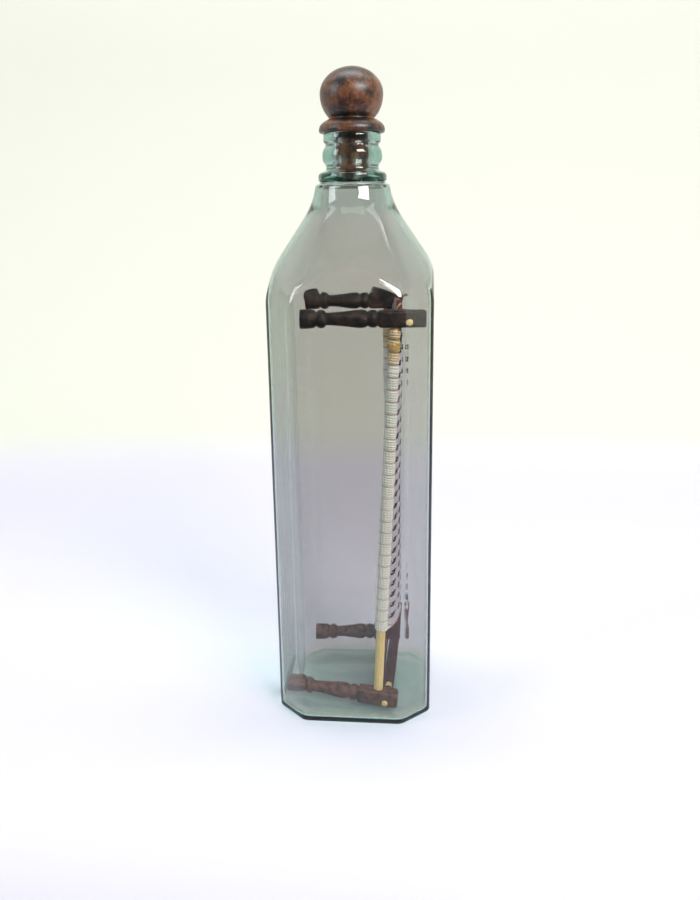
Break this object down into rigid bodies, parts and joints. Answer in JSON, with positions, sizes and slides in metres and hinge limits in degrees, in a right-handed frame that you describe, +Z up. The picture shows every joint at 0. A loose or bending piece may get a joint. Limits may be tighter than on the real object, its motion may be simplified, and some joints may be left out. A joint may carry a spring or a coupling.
{
  "type": "impossible bottle",
  "caption": "Square glass bottle with a turned wooden ball stopper, holding a miniature woven string cot that stands on its foot end inside.",
  "frame": {"origin": "middle of the bottle's flat base", "axes": "+Z up along the bottle; the bottle's faces look along X and Y; the cot's sleeping surface looks towards +X"},
  "size_m": [0.0784, 0.0784, 0.314],
  "materials": {
    "glass": "clear pale green, glossy",
    "burnt_wood": "scorched and waxed, satin",
    "dark_wood": "dark stained, satin",
    "brown_wood": "brown, rough turned",
    "pale_wood": "bare, smooth",
    "cream_cord": "silky cord",
    "lilac_cord": "silky cord",
    "gold_cord": "silky cord",
    "black_cord": "matte thread",
    "maroon_cord": "matte cord"
  },
  "bodies": {
    "bottle": {"bottle": "glass"},
    "stopper": {"stopper": "burnt_wood"},
    "cot": {"leg_head_near": "dark_wood", "leg_head_far": "dark_wood", "leg_foot_near": "brown_wood", "leg_foot_far": "brown_wood", "side_rail_near": "pale_wood", "side_rail_far": "pale_wood", "head_rail": "pale_wood", "foot_rail": "pale_wood", "rail_wrap_near": "cream_cord", "rail_wrap_far": "cream_cord", "rail_band_near": "gold_cord", "rail_band_far": "gold_cord", "head_rail_winding": "lilac_cord", "deck_weave": "lilac_cord", "pattern_cords": "black_cord", "weave_end_cord": "cream_cord", "tension_cords_near": "maroon_cord", "tension_cords_far": "maroon_cord", "foot_rail_winding": "maroon_cord", "corner_knot": "maroon_cord", "leg_lashing": "maroon_cord"}
  },
  "joints": [
    {"name": "stopper_lift", "type": "slide", "parent": "bottle", "child": "stopper", "axis": [0, 0, 1], "range_m": [0, 0.045]},
    {"name": "cot_play", "type": "slide", "parent": "bottle", "child": "cot", "axis": [0, 0, 1], "range_m": [0, 0.006]}
  ]
}
